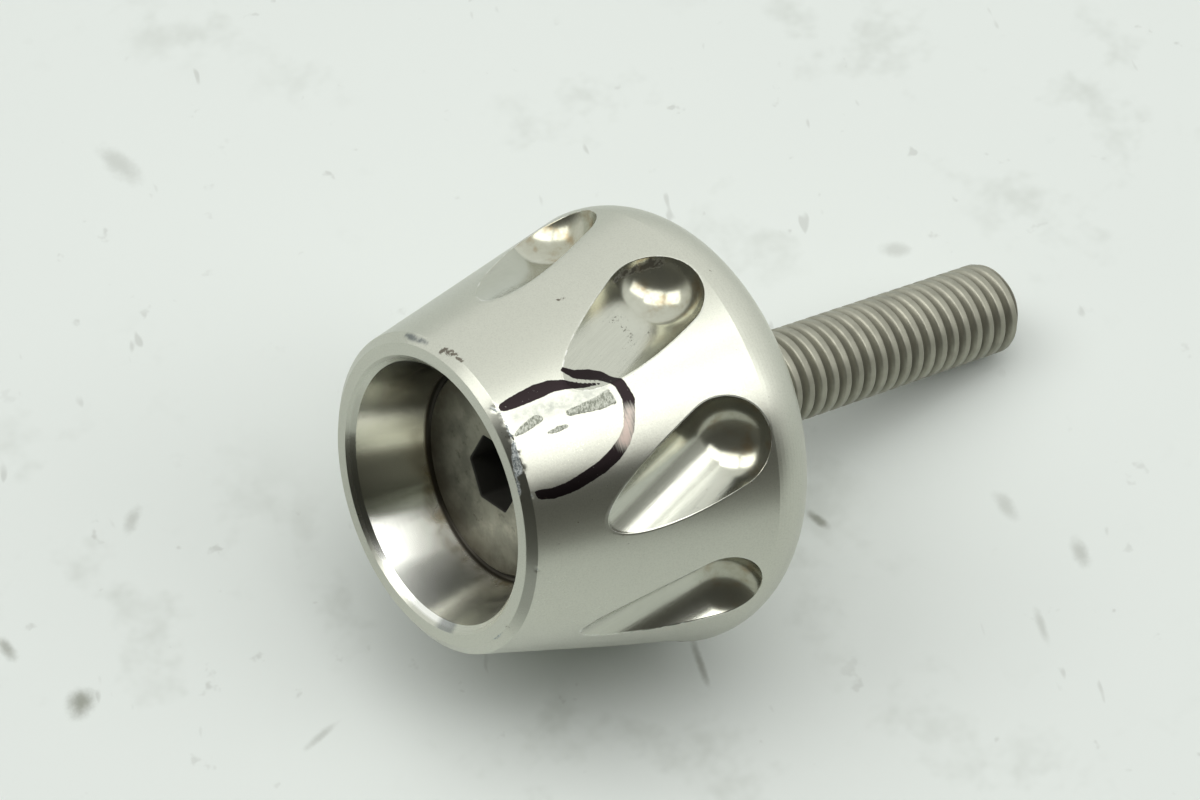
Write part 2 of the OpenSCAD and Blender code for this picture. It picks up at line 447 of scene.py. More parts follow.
def milled_steel(finishes, ring):
    """Bright milled flutes with an oily film, specks and scratches in their round ends."""
    material, board = new_material("milled_steel")
    x, y, z = board.place()
    radius, angle = polar(x, y)
    along, across, number = flute_field(ring, x, y, z)[1:]
    sizes = ring.sizes
    depth = sizes.small_end + (z - sizes.small_end_height) * ring.slope - radius
    depth = depth * (1 / math.hypot(1, ring.slope))
    blotch = board.noise(0.9, 4.0, 0.6)
    grain = board.noise(12.0, 2.0)
    streak = board.noise(1.5, 4.0, 0.65, board.vector(across * 6.0, along * 0.30, number * 7.0))

    board.colour = board.mix((blotch - 0.4) * 0.6, finishes.flute, shade(finishes.flute, 0.86))
    tool_marks = along.rise(0.6, 2.2) * streak.rise(0.35, 0.75)
    board.lay(tool_marks * 0.30, shade(finishes.flute, 0.78))
    film = along.rise(1.2, -2.3) * (blotch * 1.1 + 0.15)
    board.lay(film * 0.85, finishes.film)
    brown = along.rise(0.4, -1.5) * blotch.rise(0.50, 0.72)
    board.lay(brown * 0.6, (0.27, 0.19, 0.095))
    board.roughness = finishes.flute_roughness + (blotch - 0.5) * 0.06 + along.rise(-0.4, 1.8) * 0.05
    ink = inked(board, finishes, angle, z)

    crumbs = board.noise(5.5, 3.0, 0.7)
    specks = crumbs.rise(0.66, 0.72) * board.noise(0.55, 2.0).rise(0.50, 0.60)
    scratch = board.attribute("scratch").rise(0.06, -0.10) * board.noise(6.5, 3.0, 0.75).rise(0.56, 0.61)
    crack = (board.attribute("crack") + (crumbs - 0.5) * 0.16).rise(0.03, -0.04)
    board.lay((specks * 0.8).most(scratch * 0.8), (0.10, 0.095, 0.065))
    board.lay(crack * 0.92, (0.03, 0.026, 0.018))
    # Bright torn metal along the edges, partly a painted highlight
    burr_and_glint = edge_burr_and_glint(board, depth, ink)
    lines = board.bump(streak * along.rise(-0.5, 1.5) * 1.1 + grain * 0.25, 0.0000045)
    board.roughness += burr_and_glint * 0.2
    board.roughness += film * 0.03
    board.surface({
        "Metallic": 1.0 - (specks * 0.8).most(crack).most(film * 0.16),
        "Normal": board.bump(depth.rise(0.0, 0.06), 0.000012, lines),
    })
    return material


def screw_steel(finishes):
    """Worn grey screw, with painted shade in the thread's roots and in the socket, and painted shade with brown
    dirt towards the head's rim.
    """
    material, board = new_material("screw_steel")
    x, y, z = board.place()
    radius = polar(x, y)[0]
    blotch = board.noise(0.7, 4.0, 0.6)
    cloudy = board.noise(0.45, 4.0, 0.65)
    grain = board.noise(10.0, 2.0)
    on_head = z.rise(8.0, 7.0)
    board.colour = board.mix(blotch.rise(0.3, 0.75), finishes.screw, shade(finishes.screw, 0.80))
    dull_head = board.mix(cloudy.rise(0.35, 0.65), shade(finishes.head, 0.72), shade(finishes.head, 1.15))
    board.lay(on_head, dull_head)
    # Painted shade in the thread's roots
    root = radius.rise(2.86, 2.58) * z.rise(20.0, 20.6)
    board.lay(root * 0.45, (0.08, 0.075, 0.052))
    # Painted shade with brown dirt, darker towards the head's rim by the pocket wall; brown stains lie over it
    rim_shade_and_dirt = on_head * radius.rise(3.4, 6.2) * (blotch * 0.8 + 0.5)
    stain = on_head * board.noise(1.3, 4.0, 0.65).rise(0.55, 0.72)
    board.lay((rim_shade_and_dirt * 0.85).most(stain * 0.5), (0.055, 0.046, 0.026))
    # Near-black painted shade inside the socket
    inside = radius.rise(2.46, 2.40) * z.rise(4.66, 4.72) * on_head
    board.lay(inside * 0.96, (0.008, 0.007, 0.005))
    board.roughness = finishes.screw_roughness + (blotch - 0.5) * 0.12
    for part, rougher in ((root, 0.15), (inside, 0.3), (on_head, 0.04)):
        board.roughness += part * rougher
    board.surface({
        "Metallic": 1.0 - inside.most(root * 0.4).most(rim_shade_and_dirt * 0.3),
        "Normal": board.bump(grain * 0.4 + blotch * 1.2, 0.000006),
    })
    return material


def table_top(finishes):
    """Pale worn table; seen from behind it lets the camera through."""
    material, board = new_material("table_top")
    board.place()
    right, away = board.along(board.here, TABLE_RIGHT), board.along(board.here, TABLE_AWAY)
    cloud = board.noise(0.02)
    smudge = board.noise(0.11, 4.0, 0.65).rise(0.53, 0.72) * board.noise(0.035, 2.0).rise(0.38, 0.55)
    slim = board.noise(1.0, 2.0, 0.6, board.vector(right * 0.55 + away * 0.12, away * 0.20, 0.0)).rise(0.70, 0.76)
    dots = board.noise(0.42, 3.0, 0.6).rise(0.66, 0.74) * board.noise(0.05, 2.0).rise(0.38, 0.54)
    board.colour = board.mix(cloud.rise(0.35, 0.7) * 0.5, finishes.table, shade(finishes.table, 0.965))
    board.lay(smudge * 0.31, (0.42, 0.45, 0.39))
    board.lay(slim.most(dots) * 0.26, (0.26, 0.26, 0.22))
    ragged = (board.noise(0.9, 3.0, 0.65) - 0.5) * 1.2
    for mark_right, mark_away, wide, long, lean, strength in TABLE_MARKS:
        u, v = right - mark_right, away - mark_away
        c, s = math.cos(lean), math.sin(lean)
        across, along = (u * c - v * s) * (1 / wide), (u * s + v * c) * (1 / long)
        inside = ((across * across + along * along).math("SQRT") + ragged).rise(1.6, 0.2)
        board.lay(inside * (strength * 1.25), (0.19, 0.195, 0.145))
    board.roughness = 0.5
    pale = board.shader({"Specular IOR Level": 0.25})
    behind = board.wire(board.add("ShaderNodeNewGeometry"), "Backfacing")
    seen = board.wire(board.add("ShaderNodeLightPath"), "Is Camera Ray")
    clear = board.add("ShaderNodeBsdfTransparent")
    blend = board.add("ShaderNodeMixShader", None, {0: behind * seen, 1: pale, 2: clear.outputs[0]})
    board.add("ShaderNodeOutputMaterial", None, {"Surface": blend.outputs[0]})
    return material


# The body's outline and its flutes, all in millimetres


def taper_slope(sizes):
    """Growth of the taper's radius for each millimetre of height."""
    return (sizes.wide_end - sizes.small_end) / (sizes.taper_top - sizes.small_end_height)


def taper_radius(sizes, z):
    """Radius of the taper at a height."""
    return sizes.small_end + taper_slope(sizes) * (z - sizes.small_end_height)


def fillet(before, corner, after, radius, steps):
    """Points and outward normals round one corner of an outline."""
    into = (corner - before) / np.linalg.norm(corner - before)
    out = (after - corner) / np.linalg.norm(after - corner)
    turn = math.atan2(into[0] * out[1] - into[1] * out[0], float(into @ out))
    reach = radius * math.tan(abs(turn) / 2)
    first = np.array([into[1], -into[0]])
    bend = math.copysign(1.0, turn)
    centre = corner - into * reach - first * radius * bend
    points = []
    for step in range(steps + 1):
        c, s = math.cos(turn * step / steps), math.sin(turn * step / steps)
        normal = np.array([first[0] * c - first[1] * s, first[0] * s + first[1] * c])
        points.append((centre + normal * radius * bend, normal))
    return points


def outline(corners, closed):
    """Rings of a turned shape: point and normal, from corners (r, z, fillet radius, spacing after)."""
    count = len(corners)
    rings = []
    for k, (r, z, radius, _) in enumerate(corners):
        here = np.array([r, z])
        if not closed and k in (0, count - 1):
            other = np.array(corners[1 if k == 0 else count - 2][:2])
            way = (other - here) if k == 0 else (here - other)
            way = way / np.linalg.norm(way)
            rings.append([(here, np.array([way[1], -way[0]]))])
            continue
        before = np.array(corners[k - 1][:2])
        after = np.array(corners[(k + 1) % count][:2])
        rings.append(fillet(before, here, after, max(radius, 1e-4), 3 if radius > 0.01 else 1))
    filled = []
    for k, group in enumerate(rings):
        filled += group
        if k == count - 1 and not closed:
            break
        start, normal = group[-1]
        end = rings[(k + 1) % count][0][0]
        parts = max(1, round(np.linalg.norm(end - start) / corners[k][3]))
        filled += [(start + (end - start) * i / parts, normal) for i in range(1, parts)]
    return np.array([p for p, n in filled]), np.array([n for p, n in filled])


def body_outline(sizes):
    """Closed outline of the body: lip, taper, rounded back, hole, seat and pocket."""
    round_z = sizes.length - sizes.back_round
    start = math.asin((sizes.taper_top - round_z) / sizes.back_round)
    round_r = sizes.wide_end - sizes.back_round * math.cos(start)
    seat_end = sizes.pocket_depth + sizes.seat_edge - sizes.hole
    # Rings lie closest below dense_z, where the rim is torn, and close up to ink_z, where the ink ends
    dense_z, ink_z = 3.2, 8.2
    corners = [
        (sizes.lip_inner, 0, 0.05, 0.16),
        (sizes.lip_outer, 0, 0.05, 0.11),
        (sizes.small_end, sizes.small_end_height, 0.05, 0.13),
        (taper_radius(sizes, dense_z), dense_z, 0, 0.2),
        (taper_radius(sizes, ink_z), ink_z, 0, 0.3),
        (sizes.wide_end, sizes.taper_top, 0.14, 1.0),
    ]
    arc_steps = 22
    for k in range(1, arc_steps + 1):
        a = start + (math.pi / 2 - start) * k / arc_steps
        c, s = sizes.back_round * math.cos(a), sizes.back_round * math.sin(a)
        corners.append((round_r + c, round_z + s, 0, 1.6))
    hole_chamfer = 0.4
    corners += [
        (sizes.hole + hole_chamfer, sizes.length, 0.06, 1.0),
        (sizes.hole, sizes.length - hole_chamfer, 0.05, 3.0),
        (sizes.hole, seat_end, 0.05, 0.8),
        (sizes.seat_edge, sizes.pocket_depth, 0.08, 0.35),
        (sizes.pocket_mouth, sizes.pocket_chamfer, 0.05, 0.2),
    ]
    return outline(corners, True)


class FluteRing:
    """The straight passes of a ball-end cutter round the taper."""

    def __init__(self, sizes):
        self.sizes, self.count, self.radius = sizes, sizes.flutes, sizes.flute_radius
        self.slope = taper_slope(sizes)
        self.stop = sizes.taper_top - sizes.flute_land - sizes.flute_radius
        self.path = taper_radius(sizes, self.stop) - sizes.flute_depth + sizes.flute_radius
        lean, dive = sizes.flute_slant, sizes.flute_dive
        self.way = np.array([-math.cos(lean) * math.sin(dive), math.sin(lean), -math.cos(lean) * math.cos(dive)])
        side = np.cross(self.way, [1.0, 0, 0])
        self.side = side / np.linalg.norm(side)

    def turns(self):
        """For each flute, the rotation about the screw's axis that brings the first one to it."""
        for a in (2 * math.pi * k / self.count for k in range(self.count)):
            yield np.array([[math.cos(a), -math.sin(a), 0], [math.sin(a), math.cos(a), 0], [0, 0, 1]])

    def measure(self, points):
        """For each point and its nearest flute: distance to the cut surface and its normal."""
        nearest, normals = np.full(len(points), 1e9), np.zeros((len(points), 3))
        for turn in self.turns():
            from_start = points - turn @ np.array([self.path, 0, self.stop])
            along = from_start @ (turn @ self.way)
            away = from_start - np.outer(np.maximum(along, 0), turn @ self.way)
            length = np.linalg.norm(away, axis=1)
            near = length - self.radius < nearest
            nearest[near] = length[near] - self.radius
            normals[near] = -away[near] / np.maximum(length[near], 1e-9)[:, None]
        return nearest, normals

    def cutter(self):
        """One closed mesh of all cutters, its rows close together where the flutes run out."""
        columns, tail_start, tail_end = 96, 3.8, 10.6
        length = (self.stop + 2 * self.radius) / -self.way[2]
        ball = np.linspace(0, math.pi / 2, 25)[1:]
        profile = [(self.radius * math.sin(a), -self.radius * math.cos(a)) for a in ball]
        heights = (np.linspace(0, tail_start, 11)[1:], np.linspace(tail_start, tail_end, 44)[1:], [length])
        profile += [(self.radius, h) for h in np.concatenate(heights)]
        angles = np.arange(columns) * 2 * math.pi / columns
        local = [(0, 0, -self.radius)]
        for r, h in profile:
            local += [(r * math.cos(b), r * math.sin(b), h) for b in angles]
        local.append((0, 0, length))
        basis = np.array([np.cross(self.side, self.way), self.side, self.way])
        start = np.array([self.path, 0, self.stop])
        points = [point for turn in self.turns() for point in (np.array(local) @ basis + start) @ turn.T]
        top, last = 1 + (len(profile) - 1) * columns, len(local) - 1
        faces = []
        for j in range(columns):
            n = (j + 1) % columns
            faces.append((0, 1 + n, 1 + j))
            for low in range(1, top, columns):
                faces.append((low + j, low + n, low + columns + n, low + columns + j))
            faces.append((top + j, top + n, last))
        bases = range(0, len(points), len(local))
        return points, [tuple(base + v for v in face) for base in bases for face in faces]


# Wear, placed by angle in degrees and height in millimetres

# Felt pen line: (angle, height, half width)
PEN_STROKES = (
    ((-32.2, 0.78, 0.26), (-32.3, 1.2, 0.34), (-32.45, 2.0, 0.41), (-32.6, 2.9, 0.45), (-32.4, 3.7, 0.38),
     (-31.3, 4.4, 0.31), (-29.9, 5.0, 0.24), (-28.8, 5.5, 0.18), (-28.0, 6.1, 0.12), (-27.4, 6.45, 0.07)),
    ((-35.6, 4.9, 0.16), (-33.3, 5.5, 0.31), (-31.6, 6.4, 0.42), (-30.1, 6.9, 0.38), (-27.5, 7.1, 0.31),
     (-25.0, 7.4, 0.33), (-20.0, 7.5, 0.37), (-16.4, 7.25, 0.34), (-12.0, 6.9, 0.33), (-8.9, 6.4, 0.37),
     (-6.1, 5.7, 0.40), (-3.7, 4.8, 0.38), (-2.2, 3.9, 0.37), (-1.0, 3.15, 0.36), (-0.3, 2.5, 0.33),
     (0.0, 1.7, 0.31), (-0.7, 1.0, 0.28), (-1.7, 0.75, 0.10)),
)
# Where the pen ran dry
THIN_INK = (((-16.5, 7.25, 0.3), (-9.5, 6.5, 0.5)),)
# Scraped hatched patches
SCARS = (
    ((-22.4, 4.0, 0.18), (-22.1, 5.0, 0.29), (-21.9, 5.9, 0.38), (-22.3, 6.35, 0.42)),
    ((-24.1, 6.55, 0.14), (-20.6, 6.65, 0.14)),
    ((-22.0, 0.75, 0.13), (-23.1, 1.4, 0.24), (-24.1, 2.1, 0.27), (-24.0, 2.35, 0.18)),
    ((-18.7, 2.5, 0.09), (-18.9, 3.1, 0.16), (-18.8, 3.6, 0.11)),
)
# Finely scuffed dull ground between the ink and the patches
HAZE = (((-27.5, 1.0, 0.25), (-26.6, 2.6, 0.45), (-25.6, 4.4, 0.45), (-24.8, 6.2, 0.40)),)
# Torn metal on the chamfer and the lip
FROST = (
    ((-34.6, 0.22, 0.05), (-32.0, 0.36, 0.07), (-29.0, 0.47, 0.04), (-24.8, 0.42, 0.07), (-20.5, 0.42, 0.09),
     (-17.5, 0.34, 0.15), (-14.0, 0.24, 0.24), (-11.6, 0.22, 0.28), (-9.7, 0.20, 0.20)),
    ((-9.6, 0.10, 0.09), (-5.0, 0.06, 0.10), (-1.0, 0.03, 0.05)),
    ((-1.7, 0.44, 0.03), (-0.8, 0.47, 0.05)),
    ((24.9, 0.42, 0.02), (25.7, 0.44, 0.05)),
    ((60.6, 0.02, 0.03), (64.0, 0.02, 0.07), (69.0, 0.02, 0.03)),
)
# Brown spots
STAINS = (
    ((-64.8, 0.22, 0.13), (-63.4, 0.42, 0.16)), ((-62.0, 0.32, 0.12), (-61.0, 0.52, 0.15)),
    ((-60.2, 0.34, 0.11), (-58.8, 0.55, 0.13)), ((-57.6, 0.42, 0.10), (-55.0, 0.48, 0.12)),
    ((-11.9, 0.13, 0.03), (-11.6, 0.16, 0.04)), ((54.8, 0.05, 0.04), (56.3, 0.03, 0.10)),
    ((-58.0, 7.4, 0.11), (-57.6, 7.8, 0.08)), ((11.0, 13.3, 0.08), (11.3, 13.4, 0.08)),
    ((20.0, 14.2, 0.09), (20.2, 14.3, 0.07)), ((-25.9, 15.9, 0.07), (-25.7, 16.0, 0.06)),
)
# Blue-grey smudges on the chamfer
SMUDGES = (((-85.5, 0.28, 0.14), (-80.5, 0.25, 0.22), (-73.0, 0.24, 0.13)),)
# Hatched scratches on a flute's floor
SCRATCHES = (
    ((-45.7, 9.6, 0.12), (-47.6, 10.2, 0.20), (-47.4, 10.8, 0.14)), ((-46.8, 11.0, 0.10), (-45.4, 11.1, 0.12)),
    ((-44.2, 10.4, 0.24), (-41.3, 10.5, 0.24), (-37.6, 10.2, 0.24), (-35.6, 10.2, 0.20)),
    ((-39.3, 11.7, 0.12), (-38.2, 11.4, 0.20)),
)
# A dark crack of dirt along a flute's round end
CRACKS = (
    ((-55.6, 10.9, 0.04), (-56.9, 11.8, 0.10), (-56.6, 12.7, 0.08), (-55.4, 13.5, 0.10), (-53.5, 14.1, 0.06)),
)
# Each mark's attribute, its strokes, and 1 where depth below the surface counts too
MARKS = (
    ("ink", PEN_STROKES, 0.0), ("scar", SCARS, 0.0), ("haze", HAZE, 0.0), ("scratch", SCRATCHES, 0.0),
    ("crack", CRACKS, 0.0), ("frost", FROST, 1.0), ("stain", STAINS, 1.0), ("smudge", SMUDGES, 1.0),
)
# Dings: (angle, height, radius, depth)
DINGS = (
    (-33.4, 0.25, 0.26, 0.03), (-29.4, 0.44, 0.24, 0.02), (-21.0, 0.42, 0.30, 0.03), (-12.4, 0.22, 0.42, 0.05),
    (-10.6, 0.10, 0.32, 0.04), (-1.3, 0.45, 0.20, 0.05), (25.4, 0.44, 0.22, 0.06), (56.0, 0.02, 0.26, 0.05),
    (63.5, 0.03, 0.28, 0.05), (68.0, 0.03, 0.20, 0.04),
)
# Marks on the table: right and away from under the origin, half sizes, lean, strength
TABLE_MARKS = (
    (-21.8, -4.1, 0.75, 0.85, 0.0, 0.60), (-26.6, -0.3, 0.35, 0.8, 2.5, 0.45), (23.4, 8.8, 0.28, 0.75, 2.3, 0.55),
    (15.9, -1.2, 0.22, 1.5, 2.85, 0.42), (-7.1, -6.3, 0.22, 1.0, 0.8, 0.25), (35.2, 9.8, 0.45, 0.9, 2.6, 0.22),
    (39.7, 6.4, 0.45, 0.9, 2.9, 0.28), (-19.4, 8.8, 0.40, 0.8, 0.3, 0.25), (37.0, 1.2, 0.25, 1.0, 2.9, 0.22),
    (29.0, 29.0, 0.8, 0.5, 0.0, 0.20), (-21.9, 35.7, 1.6, 0.7, 0.8, 0.22),
)

# The small end that the wear is laid out on: lip, chamfer, and the taper carried down to height 0
LIP_R, CHAMFER_R, CHAMFER_WIDE, CHAMFER_HIGH = 9.1, 9.65, 0.55, 0.42
TAPER_FOOT_R, TAPER_RISE = 9.55, 0.252
# Length along the taper for each millimetre of height
TAPER_STRETCH = 1.031


def chamfer_radius(height):
    """Radius of the lip's chamfer at a height, and of its upper edge above that."""
    return LIP_R + min(height, CHAMFER_HIGH) / CHAMFER_HIGH * CHAMFER_WIDE


def degrees_round(points):
    return np.degrees(np.arctan2(points[:, 1], points[:, 0]))


def torn_rim(points):
    """How far the chamfer's outer edge is torn away, in one uneven run."""
    angle = degrees_round(points)
    out = np.hypot(points[:, 0], points[:, 1]) - CHAMFER_R
    from_edge = np.hypot(out, points[:, 2] - CHAMFER_HIGH)
    run = np.clip((angle + 36) / 3, 0, 1) * np.clip((-7 - angle) / 3, 0, 1)
    waves = 0.45 + 0.30 * np.sin(angle * 1.1) + 0.25 * np.sin(angle * 2.3 + 1.0) + 0.20 * np.sin(angle * 3.7)
    return 0.06 * run * np.clip(waves, 0, 1) * np.clip(1 - from_edge / 0.30, 0, 1)


def mark_distance(points, strokes, deep=0.0):
    """Distance on the surface to the edge of the nearest stroke, negative inside; deep counts the radius too."""
    angle, height = degrees_round(points), points[:, 2]
    span = np.hypot(points[:, 0], points[:, 1])
    radius = TAPER_FOOT_R + TAPER_RISE * height
    best = np.full(len(points), 9.0)
    steps = 6
    for stroke in strokes:
        stroke = np.array(stroke)
        for first, second in zip(stroke[:-1], stroke[1:]):
            for t in np.arange(steps + 1) / steps:
                a, h, w = first * (1 - t) + second * t
                own = chamfer_radius(h) + TAPER_RISE * max(h - CHAMFER_HIGH, 0)
                rise = (height - h) * (TAPER_STRETCH if h > 0.5 else 1.0)
                gaps = (np.radians(angle - a) * radius, rise, (span - own) * deep)
                best = np.minimum(best, np.sqrt(sum(g * g for g in gaps)) - w)
    return best


def ding_sink(points):
    """How far each point is pressed in by the dings and the torn rim."""
    sink = torn_rim(points)
    for angle, height, radius, depth in DINGS:
        a, r = math.radians(angle), chamfer_radius(height)
        centre = np.array([r * math.cos(a), r * math.sin(a), height])
        near = 1 - ((points - centre) ** 2).sum(1) / radius ** 2
        ripple = 0.75 + 0.25 * np.sin(points @ np.array([11.0, 17.0, 23.0]) + angle)
        sink += depth * np.maximum(near, 0) ** 1.5 * ripple
    return np.minimum(sink, 0.2)


# Mesh making


def add_object(name, data):
    thing = bpy.data.objects.new(name, data)
    bpy.context.scene.collection.objects.link(thing)
    return thing


def new_mesh(name, points, faces):
    mesh = bpy.data.meshes.new(name)
    mesh.from_pydata([tuple(p) for p in np.asarray(points) * MM], [], faces)
    return mesh


def compass(columns, shift=0.0):
    """Angles of a turned shape's columns, and their directions."""
    angles = (np.arange(columns) + shift) * 2 * math.pi / columns
    return angles, np.stack([np.cos(angles), np.sin(angles)], 1)


def spun(rings, unit):
    """One row of points, or of normals, for each (r, z) of an outline."""
    return [np.column_stack([unit * r, np.full(len(unit), z)]) for r, z in rings]


def ring_faces(rings, columns, closed, helix_start=None, helix_step=0):
    """Quads between rings; from helix_start on, a row's end meets the row helix_step further up."""
    faces = []
    for i in range(rings if closed else rings - 1):
        low, high = i * columns, ((i + 1) % rings) * columns
        for j in range(columns):
            if j < columns - 1:
                near, far = low + j + 1, high + j + 1
            elif helix_start is None or i < helix_start:
                near, far = low, high
            else:
                near = min(i + helix_step, rings - 1) * columns
                far = min(i + 1 + helix_step, rings - 1) * columns
            faces.append((low + j, near, far, high + j))
    return faces


def weld(mesh, distance):
    """Joins points that fell together, in millimetres."""
    work = bmesh.new()
    work.from_mesh(mesh)
    bmesh.ops.remove_doubles(work, verts=work.verts, dist=distance * MM)
    bmesh.ops.recalc_face_normals(work, faces=work.faces)
    work.to_mesh(mesh)
    work.free()


def cut(piece, cutter_mesh, materials):
    """Takes the cutter away from the piece and leaves a plain smooth mesh with its materials."""
    tool = add_object("cutter", cutter_mesh)
    modifier = piece.modifiers.new("cut", "BOOLEAN")
    modifier.operation, modifier.object, modifier.solver = "DIFFERENCE", tool, "MANIFOLD"
    evaluated = piece.evaluated_get(bpy.context.evaluated_depsgraph_get())
    mesh = bpy.data.meshes.new_from_object(evaluated)
    piece.modifiers.clear()
    piece.data = mesh
    bpy.data.objects.remove(tool)
    mesh.materials.clear()
    for material in materials:
        mesh.materials.append(material)
    mesh.polygons.foreach_set("use_smooth", np.ones(len(mesh.polygons), dtype=bool))
    return mesh


def read(items, what, width=3, kind=float):
    """One property of a mesh's items, as an array."""
    values = np.empty(len(items) * width, dtype=kind)
    items.foreach_get(what, values)
    return values.reshape(-1, width) if width > 1 else values


def loop_owners(mesh):
    """For each face corner: its vertex and its polygon."""
    totals = read(mesh.polygons, "loop_total", 1, np.int32)
    return read(mesh.loops, "vertex_index", 1, np.int32), np.repeat(np.arange(len(totals)), totals)


def store(mesh, name, values):
    mesh.attributes.new(name, "FLOAT", "POINT").data.foreach_set("value", np.asarray(values, dtype=np.float32))


def outline_normals(points, ring_points, ring_normals, closed):
    """Normals of a turned shape at points, from the nearest stretch of its outline, and the distance to it."""
    radius = np.hypot(points[:, 0], points[:, 1])
    flat = np.stack([radius, points[:, 2]], 1)
    best = np.full(len(points), 1e9)
    found = np.zeros((len(points), 2))
    count = len(ring_points)
    for k in range(count if closed else count - 1):
        a, b = ring_points[k], ring_points[(k + 1) % count]
        way = b - a
        t = np.clip(((flat - a) @ way) / max(way @ way, 1e-12), 0, 1)
        gap = ((flat - a - t[:, None] * way) ** 2).sum(1)
        near = gap < best
        normal = ring_normals[k] * (1 - t[:, None]) + ring_normals[(k + 1) % count] * t[:, None]
        best[near], found[near] = gap[near], normal[near]
    found /= np.maximum(np.linalg.norm(found, axis=1), 1e-9)[:, None]
    unit = points[:, :2] / np.maximum(radius, 1e-9)[:, None]
    return np.column_stack([unit * found[:, :1], found[:, 1]]), np.sqrt(best)


def finish_piece(piece, replaced):
    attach(piece, "root")
    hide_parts(replaced)


def build_body(group, finishes):
    """Turns the outline, dents it, cuts the flutes and lays the marks on it."""
    sizes = in_mm(group)
    flutes = FluteRing(sizes)
    columns = 448
    unit = compass(columns, 0.5)[1]
    ring_points, ring_normals = body_outline(sizes)
    points = np.concatenate(spun(ring_points, unit))
    points -= np.concatenate(spun(ring_normals, unit)) * ding_sink(points)[:, None]
    faces = ring_faces(len(ring_points), columns, True)
    piece = add_object("dressed_body", new_mesh("dressed_body", points, faces))
    materials = (turned_steel(finishes, flutes), milled_steel(finishes, flutes))
    mesh = cut(piece, new_mesh("flute_cutter", *flutes.cutter()), materials)

    # A face is milled where it lies on a flute and faces as the flute does
    points, centres = read(mesh.vertices, "co") / MM, read(mesh.polygons, "center") / MM
    facing = read(mesh.polygons, "normal")
    face_gap, face_cut = flutes.measure(centres)
    face_turned = outline_normals(centres, ring_points, ring_normals, True)[0]
    milled = (np.abs(face_gap) < 0.03) & ((facing * face_cut).sum(1) > (facing * face_turned).sum(1))
    mesh.polygons.foreach_set("material_index", milled.astype(np.int32))

    # Shading follows the true forms, and the mesh itself in the dings
    turned = outline_normals(points, ring_points, ring_normals, True)[0]
    dented = np.clip(ding_sink(points) / 0.01, 0, 1)[:, None]
    turned = turned * (1 - dented) + read(mesh.vertex_normals, "vector") * dented
    corners, owners = loop_owners(mesh)
    shading = np.where(milled[owners][:, None], flutes.measure(points)[1][corners], turned[corners])
    shading /= np.linalg.norm(shading, axis=1)[:, None]

    for name, strokes, deep in MARKS:
        store(mesh, name, mark_distance(points, strokes, deep))
    store(mesh, "ink_thin", np.clip(0.5 - mark_distance(points, THIN_INK) / 1.4, 0, 1))
    mesh.normals_split_custom_set(shading.tolist())
    finish_piece(piece, "weight_body")


def hexagon_cutter(sizes):
    """The socket: worn hexagon flats and the drill's point."""
    flat = sizes.socket / 2
    widest = flat / math.cos(math.pi / 6) * 0.985
    worn, drill = math.radians(4.5), math.radians(59)
    ring = []
    for k in range(6):
        a = sizes.socket_turn + k * math.pi / 3
        for step in (-1.0, -0.5, 0.0, 0.5, 1.0):
            b = a + step * worn
            reach = min(flat / math.cos(abs(math.radians(30) - abs(step) * worn)), widest)
            ring.append((reach * math.cos(b), reach * math.sin(b)))
    count, top, above = len(ring), sizes.head_top, sizes.head_top - 0.3
    floor = top + sizes.socket_depth
    levels = [(1.09, above), (1.045, top), (1.0, top + 0.12), (1.0, top + 1.1), (0.995, floor)]
    points = [(x * s, y * s, z) for s, z in levels for x, y in ring]
    points += [(0, 0, above), (0, 0, floor + flat / math.tan(drill))]
    faces = ring_faces(len(levels), count, False)
    last = (len(levels) - 1) * count
    for j in range(count):
        n = (j + 1) % count
        faces += [(n, j, len(points) - 2), (last + j, last + n, len(points) - 1)]
    return points, faces


# Rows of the screw's mesh for each turn of its thread
THREAD_STEPS = 16


def smooth(value):
    """Eases a share between 0 and 1 at both ends."""
    return value * value * (3 - 2 * value)


def thread_rows(sizes, angles, unit, start):
    """Rows of the thread's helix, each one turn long, from start to the tip."""
    steps, runout = THREAD_STEPS, 1.1
    turns = math.ceil((sizes.tip - start) / sizes.pitch) + 1
    rows = []
    for k in range(-steps, turns * steps + 1):
        wave = abs(2 * ((k / steps) % 1.0) - 1)
        lift = np.clip((wave - 0.05) / 0.55, 0, 1)
        lift = smooth(lift) * 0.6 + math.sqrt(lift) * 0.4
        z = np.clip(start + sizes.pitch * (k / steps + angles / (2 * math.pi)), start, sizes.tip)
        fade = smooth(np.clip((z - start) / runout, 0, 1))
        r = sizes.shank + (sizes.crest - sizes.thread_depth * (1 - lift) - sizes.shank) * fade
        r = np.minimum(r, sizes.crest - sizes.tip_chamfer + (sizes.tip - z))
        rows.append(np.column_stack([unit * r[:, None], z]))
    return rows


